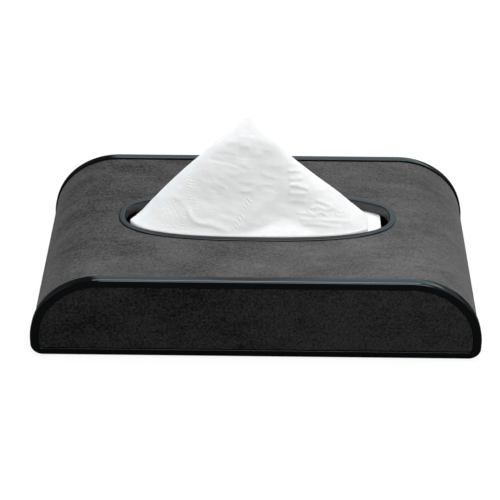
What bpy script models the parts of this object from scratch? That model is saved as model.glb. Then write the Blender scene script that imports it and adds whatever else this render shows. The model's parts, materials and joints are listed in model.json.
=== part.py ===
"""Car tissue holder: a suede-covered box with a D-shaped end, black glossy end frames and an oval
slot, standing on a base plate that magnets hold in its open underside.

Metres, +Z up. The front faces -Y. The origin is on the surface that the holder stands on, under the
middle of the box. Lifting the cover straight off the base gives the way in for a new stack of tissues.
"""

import math

import bmesh
import bpy

# Driving sizes of the whole holder
cover_width = 0.240
cover_depth = 0.130
cover_height = 0.0488
cover_stand = 0.0006
shoulder_radius = 0.0395
hem_radius = 0.0065

# Clearances that every piece shares
seat_gap = 0.0003
cut_overrun = 0.0050
weld_distance = 0.000001

# End frames, glossy black
frame_rim = 0.0045
frame_depth = 0.0047
frame_arris = 0.0008
frame_lip_width = 0.0040
frame_lip_thickness = 0.0012

# Suede skins, on the cover and on both ends
suede_thickness = 0.0009
suede_sink = 0.0009
end_recess = 0.0004
suede_edge_round = 0.0004

# Moulded shell inside the suede
shell_wall = 0.0022
end_wall = 0.0020
hem_lip_width = 0.0120

# Oval slot and its glossy ring
slot_length = 0.1450
slot_width = 0.0434
slot_setback = -0.0003
slot_exponent_share = 2.6
ring_rim = 0.0034
ring_height = 0.0006
ring_round = 0.0003
collar_wall = 0.0015
tongue_drop = 0.0022
hook_reach = 0.0011
hook_height = 0.0018
hook_length = 0.0060

# Base plate
plate_thickness = 0.0020
plate_lift = 0.0013
plate_corner = 0.0035
fence_thickness = 0.0014
fence_height = 0.0030
rib_width = 0.0014
rib_height = 0.0012
notch_radius = 0.0090

# Magnets, in pairs at the four corners
magnet_radius = 0.0040
magnet_thickness = 0.0020
magnet_sink = 0.0001
magnet_wall = 0.0017
magnet_inset = 0.0115
magnet_post_height = 0.0043
magnet_air = 0.0004
lug_height = 0.0060

# Rubber feet
foot_radius = 0.0068
foot_thickness = 0.0016
foot_edge = 0.0003
foot_inset_x = 0.0260
foot_inset_y = 0.0200

# Screws that draw the end boards on to the shell
screw_radius = 0.0010
screw_length = 0.0044
screw_tip = 0.0008
screw_head_radius = 0.0020
screw_head_height = 0.0014
screw_side_inset = 0.0500
screw_low_inset = 0.0130
screw_high_inset = 0.0130
board_thickness = 0.0016
board_boss_radius = 0.0028
pilot_skin = 0.0006

# Stack of folded tissues and the sheet pulled up through the slot
stack_length = 0.1380
stack_depth = 0.0920
stack_height = 0.0350
stack_fold_radius = 0.0090
stack_end_round = 0.0012
sheet_rise = 0.0609
sheet_tip_x = -0.0057
sheet_tip_width = 0.0018
sheet_sway = -0.0018
sheet_thickness = 0.0008
sheet_room = 0.0014
sheet_left_turn_share = 0.851
sheet_right_turn_share = 0.762
sheet_skirt_share = 0.2
sheet_fold_depth = 0.0009
sheet_folds = 3

# Facets
shoulder_steps = 13
hem_steps = 5
oval_steps = 72
round_steps = 24
small_round_steps = 16

# Places worked out from the sizes above
half_depth = cover_depth / 2
cover_top = cover_stand + cover_height
suede_inner = suede_sink + suede_thickness
shell_outer = suede_inner + seat_gap
shell_inner = shell_outer + shell_wall
frame_back_y = half_depth - frame_depth
wall_outer_y = frame_back_y - seat_gap
wall_inner_y = wall_outer_y - end_wall
lip_front_y = frame_back_y + frame_lip_thickness
board_back_y = lip_front_y + seat_gap
suede_front_y = half_depth - end_recess
board_front_y = suede_front_y - suede_thickness - seat_gap
plate_top = plate_lift + plate_thickness
wall_bottom = plate_top + seat_gap
plate_half_depth = wall_outer_y - seat_gap
hem_lip_end = cover_width / 2 - shell_outer - hem_lip_width
plate_half_width = hem_lip_end - seat_gap
post_top = plate_top + magnet_post_height
lug_bottom = post_top + magnet_air
pocket_radius = magnet_radius + seat_gap
post_radius = pocket_radius + magnet_wall
magnet_y = wall_inner_y - seat_gap - post_radius
stack_bottom = plate_top + rib_height + seat_gap
sheet_bottom = stack_bottom + stack_height + seat_gap
ring_seat = cover_top - suede_sink + seat_gap
ring_top = ring_seat + ring_height
magnet_x = plate_half_width - magnet_inset
foot_x = plate_half_width - foot_inset_x
foot_y = plate_half_depth - foot_inset_y
screw_x = cover_width / 2 - screw_side_inset
screw_low = cover_stand + screw_low_inset
screw_high = cover_top - screw_high_inset

# Colours as red, green, blue, alpha; then roughness and metallic
finishes = {
    "gloss_black": ((0.012, 0.013, 0.015, 1.0), 0.16, 0.0),
    "suede_grey": ((0.055, 0.055, 0.056, 1.0), 0.95, 0.0),
    "moulded_black": ((0.018, 0.018, 0.019, 1.0), 0.55, 0.0),
    "nickel": ((0.62, 0.61, 0.58, 1.0), 0.28, 1.0),
    "zinc_steel": ((0.45, 0.45, 0.46, 1.0), 0.35, 1.0),
    "rubber": ((0.025, 0.025, 0.026, 1.0), 0.85, 0.0),
    "tissue_paper": ((0.86, 0.87, 0.88, 1.0), 0.9, 0.0),
}


def clear_scene():
    for thing in list(bpy.data.objects):
        bpy.data.objects.remove(thing, do_unlink=True)


def new_collection(name):
    group = bpy.data.collections.new(name)
    bpy.context.scene.collection.children.link(group)
    return group


def material(name):
    """The named finish as a Principled BSDF, made once."""
    found = bpy.data.materials.get(name)
    if found:
        return found
    colour, roughness, metallic = finishes[name]
    made = bpy.data.materials.new(name)
    made.use_nodes = True
    shader = made.node_tree.nodes["Principled BSDF"]
    shader.inputs["Base Color"].default_value = colour
    shader.inputs["Roughness"].default_value = roughness
    shader.inputs["Metallic"].default_value = metallic
    made.diffuse_color = colour
    return made


def finish_piece(piece, finish, parent, smooth_angle=35):
    """Gives a piece its material, its shading and the empty that it moves with."""
    piece.data.materials.clear()
    piece.data.materials.append(material(finish))
    piece.data.shade_smooth()
    piece.data.set_sharp_from_angle(angle=math.radians(smooth_angle))
    piece.parent = parent
    piece.matrix_parent_inverse = parent.matrix_world.inverted()
    return piece


def helper(piece, group=None):
    """Turns a piece into a cutter or an addition for a Boolean, which is left out of the part."""
    piece.hide_render = True
    piece.display_type = "WIRE"
    for old in list(piece.users_collection):
        old.objects.unlink(piece)
    (group or cutters).objects.link(piece)
    return piece


def boolean(target, operation, other):
    """Joins or cuts with one object, or with every object of a collection."""
    change = target.modifiers.new(other.name, "BOOLEAN")
    change.operation = operation
    change.solver = "EXACT"
    if isinstance(other, bpy.types.Collection):
        change.operand_type = "COLLECTION"
        change.collection = other
    else:
        change.object = other
    return target


def arc(centre, radius, start, stop, steps):
    """Points on an arc between two angles in degrees, ends included."""
    turns = [math.radians(start + (stop - start) * i / steps) for i in range(steps + 1)]
    return [(centre[0] + radius * math.cos(a), centre[1] + radius * math.sin(a)) for a in turns]


def end_outline(inset):
    """The D shape of an end, as (x, z), drawn in by inset all round."""
    half = cover_width / 2 - inset
    low = cover_stand + inset
    high = cover_top - inset
    shoulder = shoulder_radius - inset
    hem = max(hem_radius - inset, seat_gap)
    shoulder_x = half - shoulder
    shoulder_z = high - shoulder
    return (
        arc((half - hem, low + hem), hem, -90, 0, hem_steps)
        + arc((shoulder_x, shoulder_z), shoulder, 0, 90, shoulder_steps)
        + arc((-shoulder_x, shoulder_z), shoulder, 90, 180, shoulder_steps)
        + arc((hem - half, low + hem), hem, 180, 270, hem_steps)
    )


def wrap_outline(outer_inset, inner_inset, hem_end):
    """A band of the D shape between two insets, open along the bottom between -hem_end and hem_end."""
    outer = end_outline(outer_inset)
    inner = end_outline(inner_inset)
    outer = [(hem_end, cover_stand + outer_inset)] + outer + [(-hem_end, cover_stand + outer_inset)]
    inner = [(hem_end, cover_stand + inner_inset)] + inner + [(-hem_end, cover_stand + inner_inset)]
    return outer + inner[::-1]


def oval(offset):
    """The slot's superellipse, as (x, y), moved outward along its normal by offset."""
    points = []
    for i in range(oval_steps):
        turn = 2 * math.pi * (i + 0.5) / oval_steps
        across, along = math.cos(turn), math.sin(turn)
        power = 2 / slot_exponent_share
        x = slot_length / 2 * math.copysign(abs(across) ** power, across)
        y = slot_width / 2 * math.copysign(abs(along) ** power, along)
        slope = slot_exponent_share - 1
        normal_x = math.copysign(abs(2 * x / slot_length) ** slope, x) / slot_length
        normal_y = math.copysign(abs(2 * y / slot_width) ** slope, y) / slot_width
        length = math.hypot(normal_x, normal_y)
        points.append((x + offset * normal_x / length, slot_setback + y + offset * normal_y / length))
    return points


def rounded_rectangle(half_x, half_y, radius, steps):
    corners = [(1, -1, -90), (1, 1, 0), (-1, 1, 90), (-1, -1, 180)]
    points = []
    for side_x, side_y, start in corners:
        centre = (side_x * (half_x - radius), side_y * (half_y - radius))
        points += arc(centre, radius, start, start + 90, steps)
    return points


def as_mesh(curve_object):
    """The curve's evaluated shape as a closed mesh object in its place."""
    bpy.context.view_layer.update()
    graph = bpy.context.evaluated_depsgraph_get()
    mesh = bpy.data.meshes.new_from_object(curve_object.evaluated_get(graph))
    shape = bmesh.new()
    shape.from_mesh(mesh)
    bmesh.ops.remove_doubles(shape, verts=shape.verts, dist=weld_distance)
    bmesh.ops.dissolve_degenerate(shape, edges=shape.edges, dist=weld_distance)
    bmesh.ops.recalc_face_normals(shape, faces=shape.faces)
    shape.to_mesh(mesh)
    shape.free()
    name = curve_object.name
    matrix = curve_object.matrix_world.copy()
    bpy.data.objects.remove(curve_object, do_unlink=True)
    solid = bpy.data.objects.new(name, mesh)
    solid.matrix_world = matrix
    pieces.objects.link(solid)
    return solid


def flat_piece(name, outlines, thickness):
    """A filled 2D curve: the first outline, with the others as holes in it, thickness deep."""
    curve = bpy.data.curves.new(name, "CURVE")
    curve.dimensions = "2D"
    curve.fill_mode = "BOTH"
    curve.extrude = thickness / 2
    for outline in outlines:
        spline = curve.splines.new("POLY")
        spline.points.add(len(outline) - 1)
        for point, (across, along) in zip(spline.points, outline):
            point.co = (across, along, 0, 1)
        spline.use_cyclic_u = True
    drawn = bpy.data.objects.new(name, curve)
    pieces.objects.link(drawn)
    return drawn


def standing_piece(name, outlines, y_one, y_other):
    """A flat piece whose outline stands in the XZ plane, between two values of Y."""
    drawn = flat_piece(name, outlines, abs(y_other - y_one))
    drawn.rotation_euler = (math.pi / 2, 0, 0)
    drawn.location = (0, (y_one + y_other) / 2, 0)
    return as_mesh(drawn)


def lying_piece(name, outlines, bottom, top):
    """A flat piece whose outline lies in the XY plane, between two heights."""
    drawn = flat_piece(name, outlines, top - bottom)
    drawn.location = (0, 0, (bottom + top) / 2)
    return as_mesh(drawn)


def box(name, low, high):
    """A box between two corners, from a cube primitive."""
    size = [b - a for a, b in zip(low, high)]
    centre = [(a + b) / 2 for a, b in zip(low, high)]
    shape = bmesh.new()
    bmesh.ops.create_cube(shape, size=1)
    bmesh.ops.scale(shape, vec=size, verts=shape.verts)
    mesh = bpy.data.meshes.new(name)
    shape.to_mesh(mesh)
    shape.free()
    made = bpy.data.objects.new(name, mesh)
    made.location = centre
    pieces.objects.link(made)
    return made


def upright_cylinder(name, centre, radius, bottom, top, steps):
    """A cylinder about a vertical axis, from a cone primitive with equal ends."""
    shape = bmesh.new()
    bmesh.ops.create_cone(
        shape, cap_ends=True, segments=steps, radius1=radius, radius2=radius, depth=top - bottom
    )
    mesh = bpy.data.meshes.new(name)
    shape.to_mesh(mesh)
    shape.free()
    made = bpy.data.objects.new(name, mesh)
    made.location = (centre[0], centre[1], (bottom + top) / 2)
    pieces.objects.link(made)
    return made


def level_cylinder(name, centre, radius, y_one, y_other, steps):
    """A cylinder about an axis along Y, at (x, z)."""
    made = upright_cylinder(name, (0, 0), radius, 0, abs(y_other - y_one), steps)
    made.rotation_euler = (math.pi / 2, 0, 0)
    made.location = (centre[0], (y_one + y_other) / 2, centre[1])
    return made


def bevel(piece, width, steps, angle=40):
    rounding = piece.modifiers.new("round", "BEVEL")
    rounding.width = width
    rounding.segments = steps
    rounding.limit_method = "ANGLE"
    rounding.angle_limit = math.radians(angle)
    return piece


def corner_places(x, y):
    """The four corners of a rectangle about the origin, with a word for each."""
    return [
        ("front_left", -x, -y),
        ("front_right", x, -y),
        ("rear_left", -x, y),
        ("rear_right", x, y),
    ]


def screw_places():
    """Where the screws stand in an end wall, as (word, x, z)."""
    return [
        ("lower_left", -screw_x, screw_low),
        ("lower_right", screw_x, screw_low),
        ("upper_left", -screw_x, screw_high),
        ("upper_right", screw_x, screw_high),
    ]


def make_cover_shell():
    """One moulding: an arch with both end walls, open below, with slot, magnet lugs and screw holes."""
    shell = standing_piece(
        "cover_shell", [end_outline(shell_outer)], -wall_outer_y, wall_outer_y
    )
    hollow = standing_piece(
        "shell_hollow", [end_outline(shell_inner)], -wall_inner_y, wall_inner_y
    )
    boolean(shell, "DIFFERENCE", helper(hollow))

    added = bpy.data.collections.new("shell_additions")
    cutters.children.link(added)
    lug_top = lug_bottom + lug_height
    for word, x, y in corner_places(magnet_x, magnet_y):
        lug = upright_cylinder(
            "lug_" + word, (x, y), post_radius, lug_bottom, lug_top, round_steps
        )
        helper(lug, added)
        side = math.copysign(1, y)
        wall_y = side * (wall_inner_y + end_wall / 2)
        web = box(
            "web_" + word,
            (x - magnet_radius, min(y, wall_y), lug_bottom + magnet_thickness),
            (x + magnet_radius, max(y, wall_y), lug_top + magnet_thickness),
        )
        helper(web, added)
    for word, side in (("left", -1), ("right", 1)):
        rib_x = side * (cover_width / 2 - shoulder_radius)
        rib = box(
            "arch_rib_" + word,
            (rib_x - rib_width / 2, -wall_inner_y - seat_gap, cover_top - shell_inner - shell_wall),
            (rib_x + rib_width / 2, wall_inner_y + seat_gap, cover_top - shell_inner + shell_wall / 2),
        )
        helper(rib, added)
    boolean(shell, "UNION", added)

    cuts = bpy.data.collections.new("shell_cuts")
    cutters.children.link(cuts)
    under = box(
        "base_seat",
        (-hem_lip_end, -half_depth, -cut_overrun),
        (hem_lip_end, half_depth, wall_bottom),
    )
    helper(under, cuts)
    floor = box(
        "base_mouth",
        (-hem_lip_end, -wall_inner_y, -cut_overrun),
        (hem_lip_end, wall_inner_y, cover_stand + shell_inner + seat_gap),
    )
    helper(floor, cuts)
    slot = lying_piece(
        "shell_slot",
        [oval(collar_wall + seat_gap)],
        cover_top - shell_inner - cut_overrun,
        cover_top + cut_overrun,
    )
    helper(slot, cuts)
    for word, x, y in corner_places(magnet_x, magnet_y):
        pocket_top = lug_bottom + magnet_sink + magnet_thickness + seat_gap
        pocket = upright_cylinder(
            "lug_pocket_" + word, (x, y), pocket_radius, plate_top, pocket_top, round_steps
        )
        helper(pocket, cuts)
    for side_word, side in (("front", -1), ("rear", 1)):
        for word, x, z in screw_places():
            hole = level_cylinder(
                f"wall_hole_{side_word}_{word}",
                (x, z),
                screw_radius + seat_gap,
                side * (wall_inner_y - seat_gap),
                side * (wall_outer_y + seat_gap),
                small_round_steps,
            )
            helper(hole, cuts)
    boolean(shell, "DIFFERENCE", cuts)
    return finish_piece(shell, "moulded_black", cover_axis)


def make_cover_suede():
    """One sheet of suede over the top and both sides, turned in under the hem lips, cut for the slot."""
    skin = standing_piece(
        "cover_suede",
        [wrap_outline(suede_sink, suede_inner, hem_lip_end)],
        -wall_outer_y,
        wall_outer_y,
    )
    slot = lying_piece(
        "suede_slot",
        [oval(collar_wall + seat_gap)],
        cover_top - shell_inner,
        cover_top + cut_overrun,
    )
    boolean(skin, "DIFFERENCE", helper(slot))
    return finish_piece(skin, "suede_grey", cover_axis)


def make_end(side_word, side):
    """One end of the cover: glossy frame, board, suede skin and the four screws from inside."""
    frame = standing_piece(
        side_word + "_frame",
        [end_outline(0), end_outline(frame_rim)],
        side * frame_back_y,
        side * half_depth,
    )
    bevel(frame, frame_arris, 2)
    lip = standing_piece(
        side_word + "_frame_lip",
        [end_outline(frame_rim / 2), end_outline(frame_rim + frame_lip_width)],
        side * (frame_back_y + weld_distance),
        side * lip_front_y,
    )
    boolean(frame, "UNION", helper(lip))
    finish_piece(frame, "gloss_black", cover_axis)

    skin_inset = frame_rim + seat_gap
    hem_inset = skin_inset + suede_thickness
    board_inset = hem_inset + seat_gap
    board = standing_piece(
        side_word + "_board", [end_outline(board_inset)], side * board_back_y, side * board_front_y
    )
    bosses = bpy.data.collections.new(side_word + "_board_bosses")
    pilots = bpy.data.collections.new(side_word + "_board_pilots")
    cutters.children.link(bosses)
    cutters.children.link(pilots)
    for word, x, z in screw_places():
        boss = level_cylinder(
            f"{side_word}_boss_{word}",
            (x, z),
            board_boss_radius,
            side * frame_back_y,
            side * (board_back_y + board_thickness / 2),
            small_round_steps,
        )
        helper(boss, bosses)
        pilot = level_cylinder(
            f"{side_word}_pilot_{word}",
            (x, z),
            screw_radius + seat_gap,
            side * wall_outer_y,
            side * (board_front_y - pilot_skin),
            small_round_steps,
        )
        helper(pilot, pilots)
    boolean(board, "UNION", bosses)
    boolean(board, "DIFFERENCE", pilots)
    finish_piece(board, "moulded_black", cover_axis)

    skin = standing_piece(
        side_word + "_suede",
        [end_outline(skin_inset)],
        side * board_back_y,
        side * suede_front_y,
    )
    bevel(skin, suede_edge_round, 2)
    pocket = standing_piece(
        side_word + "_suede_pocket",
        [end_outline(hem_inset)],
        side * (board_back_y - cut_overrun),
        side * (board_front_y + seat_gap),
    )
    boolean(skin, "DIFFERENCE", helper(pocket))
    finish_piece(skin, "suede_grey", cover_axis)

    for word, x, z in screw_places():
        make_screw(f"{side_word}_screw_{word}", side, x, z)


def make_screw(name, side, x, z):
    """A pan-head screw, turned about its axis: its head bears on the inside of the end wall."""
    profile = [
        (0, -screw_length),
        (screw_radius, screw_tip - screw_length),
        (screw_radius, 0),
        (screw_head_radius, 0),
        (screw_head_radius, screw_head_height / 2),
        (screw_head_radius / 2, screw_head_height),
        (0, screw_head_height),
    ]
    shape = bmesh.new()
    verts = [shape.verts.new((radius, 0, height)) for radius, height in reversed(profile)]
    for one, other in zip(verts, verts[1:]):
        shape.edges.new((one, other))
    mesh = bpy.data.meshes.new(name)
    shape.to_mesh(mesh)
    shape.free()
    screw = bpy.data.objects.new(name, mesh)
    pieces.objects.link(screw)
    turning = screw.modifiers.new("turn", "SCREW")
    turning.steps = small_round_steps
    turning.render_steps = small_round_steps
    turning.use_merge_vertices = True
    turning.merge_threshold = weld_distance
    turning.use_smooth_shade = True
    screw.rotation_euler = (side * math.pi / 2, 0, 0)
    screw.location = (x, side * (wall_inner_y - seat_gap), z)
    bpy.context.view_layer.update()
    finish_piece(screw, "zinc_steel", cover_axis)


def make_opening_ring():
    """The glossy ring: a low rounded rim on the suede and a collar through the shell. The collar ends
    flush with the shell's underside, but for the tongues that carry the snap hooks."""
    underside = cover_top - shell_inner
    collar_bottom = underside - tongue_drop
    profile = [
        (0, collar_bottom),
        (0, ring_top - ring_round),
        (ring_round * (1 - math.cos(math.pi / 4)), ring_top - ring_round * (1 - math.sin(math.pi / 4))),
        (ring_round, ring_top),
        (ring_rim - ring_round, ring_top),
        (ring_rim - ring_round * (1 - math.cos(math.pi / 4)),
         ring_top - ring_round * (1 - math.sin(math.pi / 4))),
        (ring_rim, ring_top - ring_round),
        (ring_rim, ring_seat),
        (collar_wall, ring_seat),
        (collar_wall, collar_bottom),
    ]
    section = bpy.data.curves.new("ring_section", "CURVE")
    section.dimensions = "2D"
    spline = section.splines.new("POLY")
    spline.points.add(len(profile) - 1)
    for point, (out, up) in zip(spline.points, profile):
        point.co = (-out, up, 0, 1)
    spline.use_cyclic_u = True
    section_object = bpy.data.objects.new("ring_section", section)
    helper(section_object)

    path = bpy.data.curves.new("opening_ring", "CURVE")
    path.dimensions = "2D"
    spline = path.splines.new("POLY")
    outline = oval(0)
    spline.points.add(len(outline) - 1)
    for point, (x, y) in zip(spline.points, outline):
        point.co = (x, y, 0, 1)
    spline.use_cyclic_u = True
    path.fill_mode = "NONE"
    path.bevel_mode = "OBJECT"
    path.bevel_object = section_object
    drawn = bpy.data.objects.new("opening_ring", path)
    pieces.objects.link(drawn)
    ring = as_mesh(drawn)

    gaps = bpy.data.collections.new("ring_gaps")
    cutters.children.link(gaps)
    half_length, half_width = slot_length / 2, slot_width / 2
    hook_shares = (-0.62, 0, 0.62)
    reach_x, reach_y = half_length + ring_rim, half_width + ring_rim
    edges = [-reach_x]
    for across_share in hook_shares:
        x = across_share * half_length
        edges += [x - hook_length / 2, x + hook_length / 2]
    edges.append(reach_x)
    for number in range(len(hook_shares) + 1):
        gap = box(
            f"tongue_gap_{number}",
            (edges[2 * number], slot_setback - reach_y, collar_bottom - cut_overrun),
            (edges[2 * number + 1], slot_setback + reach_y, underside),
        )
        helper(gap, gaps)
    boolean(ring, "DIFFERENCE", gaps)

    hooks = bpy.data.collections.new("ring_hooks")
    cutters.children.link(hooks)
    hook_top = underside - seat_gap
    for number, across_share in enumerate(hook_shares):
        for side in (-1, 1):
            outer_y = side * (half_width * hook_place(across_share) + collar_wall + hook_reach)
            inner_y = side * (half_width * hook_place(across_share) + collar_wall / 2)
            x = across_share * half_length
            hook = box(
                f"hook_{number}_{side}",
                (x - hook_length / 2, slot_setback + min(inner_y, outer_y), hook_top - hook_height),
                (x + hook_length / 2, slot_setback + max(inner_y, outer_y), hook_top),
            )
            helper(hook, hooks)
    boolean(ring, "UNION", hooks)
    return finish_piece(ring, "gloss_black", cover_axis)


def hook_place(across_share):
    """How far out the slot's edge lies there, as a share of its half width."""
    return (1 - abs(across_share) ** slot_exponent_share) ** (1 / slot_exponent_share)


def make_magnets():
    for word, x, y in corner_places(magnet_x, magnet_y):
        low = post_top - magnet_sink - magnet_thickness
        lower = upright_cylinder(
            "base_magnet_" + word, (x, y), magnet_radius, low, low + magnet_thickness, round_steps
        )
        finish_piece(lower, "nickel", base_axis)
        low = lug_bottom + magnet_sink
        upper = upright_cylinder(
            "cover_magnet_" + word, (x, y), magnet_radius, low, low + magnet_thickness, round_steps
        )
        finish_piece(upper, "nickel", cover_axis)


def make_base_plate():
    """The plate that closes the underside: fence, rib grid, magnet posts, foot pockets, finger notches."""
    plate = lying_piece(
        "base_plate",
        [rounded_rectangle(plate_half_width, plate_half_depth, plate_corner, hem_steps)],
        plate_lift,
        plate_top,
    )
    added = bpy.data.collections.new("plate_additions")
    cutters.children.link(added)
    fence_half_x = plate_half_width
    fence_half_y = wall_inner_y - seat_gap
    fence = lying_piece(
        "fence",
        [
            rounded_rectangle(fence_half_x, fence_half_y, plate_corner, hem_steps),
            rounded_rectangle(
                fence_half_x - fence_thickness,
                fence_half_y - fence_thickness,
                plate_corner - fence_thickness,
                hem_steps,
            ),
        ],
        plate_top - plate_thickness / 2,
        plate_top + fence_height,
    )
    helper(fence, added)
    for number, along_share in enumerate((-0.8, -0.4, 0, 0.4, 0.8)):
        x = along_share * stack_length / 2
        rib = box(
            f"rib_across_{number}",
            (x - rib_width / 2, -fence_half_y + fence_thickness / 2, plate_top - plate_thickness / 2),
            (x + rib_width / 2, fence_half_y - fence_thickness / 2, plate_top + rib_height),
        )
        helper(rib, added)
    for number, deep_share in enumerate((-0.6, 0, 0.6)):
        y = deep_share * stack_depth / 2
        rib = box(
            f"rib_along_{number}",
            (-stack_length / 2, y - rib_width / 2, plate_top - plate_thickness / 2),
            (stack_length / 2, y + rib_width / 2, plate_top + rib_height),
        )
        helper(rib, added)
    for word, x, y in corner_places(magnet_x, magnet_y):
        post = upright_cylinder(
            "post_" + word, (x, y), post_radius, plate_top - plate_thickness / 2, post_top, round_steps
        )
        helper(post, added)
    boolean(plate, "UNION", added)

    cuts = bpy.data.collections.new("plate_cuts")
    cutters.children.link(cuts)
    for word, x, y in corner_places(magnet_x, magnet_y):
        pocket_floor = post_top - magnet_sink - magnet_thickness - seat_gap
        pocket = upright_cylinder(
            "post_pocket_" + word, (x, y), pocket_radius, pocket_floor, post_top + cut_overrun, round_steps
        )
        helper(pocket, cuts)
    for word, x, y in corner_places(foot_x, foot_y):
        recess = upright_cylinder(
            "foot_recess_" + word,
            (x, y),
            foot_radius + seat_gap,
            plate_lift - cut_overrun,
            foot_thickness + seat_gap,
            round_steps,
        )
        helper(recess, cuts)
    for word, side in (("left", -1), ("right", 1)):
        notch = upright_cylinder(
            "finger_notch_" + word,
            (side * plate_half_width, 0),
            notch_radius,
            plate_lift - cut_overrun,
            plate_top + fence_height + cut_overrun,
            round_steps,
        )
        helper(notch, cuts)
    boolean(plate, "DIFFERENCE", cuts)
    return finish_piece(plate, "moulded_black", base_axis)


def make_feet():
    for word, x, y in corner_places(foot_x, foot_y):
        foot = upright_cylinder("foot_" + word, (x, y), foot_radius, 0, foot_thickness, round_steps)
        bevel(foot, foot_edge, 1)
        finish_piece(foot, "rubber", base_axis)


def make_stack():
    """The stack of interfolded tissues: its folds make round edges at the front and the back."""
    stack_top = stack_bottom + stack_height
    half = stack_depth / 2
    section = []
    for side_y, side_z, start in ((1, -1, -90), (1, 1, 0), (-1, 1, 90), (-1, -1, 180)):
        centre_y = side_y * (half - stack_fold_radius)
        middle = (stack_bottom + stack_top) / 2
        centre_z = middle + side_z * (stack_height / 2 - stack_fold_radius)
        section += arc((centre_y, centre_z), stack_fold_radius, start, start + 90, hem_steps)
    drawn = flat_piece("tissue_stack", [section], stack_length)
    drawn.rotation_euler = (math.pi / 2, 0, math.pi / 2)
    stack = as_mesh(drawn)
    bevel(stack, stack_end_round, 2)
    return finish_piece(stack, "tissue_paper", base_axis)


def make_sheet():
    """The corner of a tissue drawn up through the slot: it lines the slot's front edge, leans back in a
    short skirt above it, and narrows like a cone to its tip, with a few soft folds between."""
    columns, foot_rows, cone_rows = 26, 3, 15
    rows = foot_rows + cone_rows
    half = slot_length / 2 - sheet_room
    depth = slot_width / 2 - sheet_room
    power = 2 / slot_exponent_share
    left_turn = -sheet_left_turn_share * math.pi / 2
    right_turn = sheet_right_turn_share * math.pi / 2
    skirt_power = 5
    shape = bmesh.new()
    bmesh.ops.create_grid(shape, x_segments=columns, y_segments=rows, size=1)
    for vert in shape.verts:
        side = vert.co.x
        turn = left_turn + (right_turn - left_turn) * (side + 1) / 2
        row = (vert.co.y + 1) / 2 * rows
        across = half * math.copysign(abs(math.sin(turn)) ** power, turn)
        forward = slot_setback - depth * math.cos(turn) ** power
        up = max(row - foot_rows, 0) / cone_rows
        foot = min(row / foot_rows, 1)
        down = 1 - up
        lean = (1 - sheet_skirt_share) * down + sheet_skirt_share * down**skirt_power
        fold = sheet_fold_depth * math.sin(math.pi * up) * math.sin(sheet_folds * turn) ** 2
        tip = sheet_tip_x + side * sheet_tip_width / 2
        vert.co.x = across * down + tip * up + sheet_sway * math.sin(math.pi * up)
        vert.co.y = forward * lean + fold
        vert.co.z = sheet_bottom + (ring_top - sheet_bottom) * foot + sheet_rise * up
    mesh = bpy.data.meshes.new("pulled_tissue")
    shape.to_mesh(mesh)
    shape.free()
    sheet = bpy.data.objects.new("pulled_tissue", mesh)
    pieces.objects.link(sheet)
    wall = sheet.modifiers.new("thickness", "SOLIDIFY")
    wall.thickness = sheet_thickness
    wall.offset = 0
    wall.use_even_offset = True
    return finish_piece(sheet, "tissue_paper", sheet_axis, smooth_angle=60)


def joint_empty(name, location):
    mark = bpy.data.objects.new(name, None)
    mark.location = location
    mark.empty_display_size = frame_rim
    pieces.objects.link(mark)
    return mark


clear_scene()
pieces = new_collection("car_tissue_holder")
cutters = new_collection("cutters")
cutters.hide_render = True
base_axis = joint_empty("base_group", (0, 0, 0))
cover_axis = joint_empty("cover_lift_axis", (0, 0, wall_bottom))
sheet_axis = joint_empty("tissue_pull_axis", (sheet_tip_x, slot_setback, ring_top))
bpy.context.view_layer.update()

make_base_plate()
make_feet()
make_magnets()
make_stack()
make_sheet()
make_cover_shell()
make_cover_suede()
make_end("front", -1)
make_end("rear", 1)
make_opening_ring()
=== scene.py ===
"""Looks for a car tissue holder: suede over a D-shaped box, glossy end frames, a ringed oval slot
with a tissue drawn up through it, and a moulded base plate that magnets hold from below. Sizes are
in metres, and +Z is up."""

import json
import math

import bmesh
import bpy
import numpy as np
from mathutils import Matrix

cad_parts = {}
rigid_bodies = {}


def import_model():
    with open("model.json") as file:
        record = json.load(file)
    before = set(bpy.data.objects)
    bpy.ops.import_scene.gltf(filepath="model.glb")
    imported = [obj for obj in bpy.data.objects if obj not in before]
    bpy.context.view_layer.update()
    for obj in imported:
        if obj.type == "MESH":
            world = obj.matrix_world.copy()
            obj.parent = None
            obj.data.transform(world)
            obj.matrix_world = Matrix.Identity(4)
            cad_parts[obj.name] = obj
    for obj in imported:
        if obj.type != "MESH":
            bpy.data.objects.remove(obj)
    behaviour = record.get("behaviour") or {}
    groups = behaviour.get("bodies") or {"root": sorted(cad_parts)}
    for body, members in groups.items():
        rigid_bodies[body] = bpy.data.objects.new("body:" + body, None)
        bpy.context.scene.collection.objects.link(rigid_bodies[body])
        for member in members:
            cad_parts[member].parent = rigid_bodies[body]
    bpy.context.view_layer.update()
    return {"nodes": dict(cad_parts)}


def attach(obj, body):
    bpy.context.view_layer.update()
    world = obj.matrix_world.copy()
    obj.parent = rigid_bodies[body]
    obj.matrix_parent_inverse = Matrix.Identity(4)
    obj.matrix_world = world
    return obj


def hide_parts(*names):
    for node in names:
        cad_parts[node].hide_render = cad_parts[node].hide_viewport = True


for leftover in list(bpy.data.objects):
    bpy.data.objects.remove(leftover, do_unlink=True)

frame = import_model()


# --------------------------------------------------------------------------------------------------
# Base plate: an injection moulding in black ABS with a spark-eroded skin. Ribs carry the tissues, a
# fence locates the cover, and posts hold the magnets. It stands on four rubber feet.

weld_distance = 0.000002
flat_angle, edge_angle = math.radians(0.6), math.radians(38)
plate_edge = 0.00022
four_corners = ("front_left", "front_right", "rear_left", "rear_right")


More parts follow.
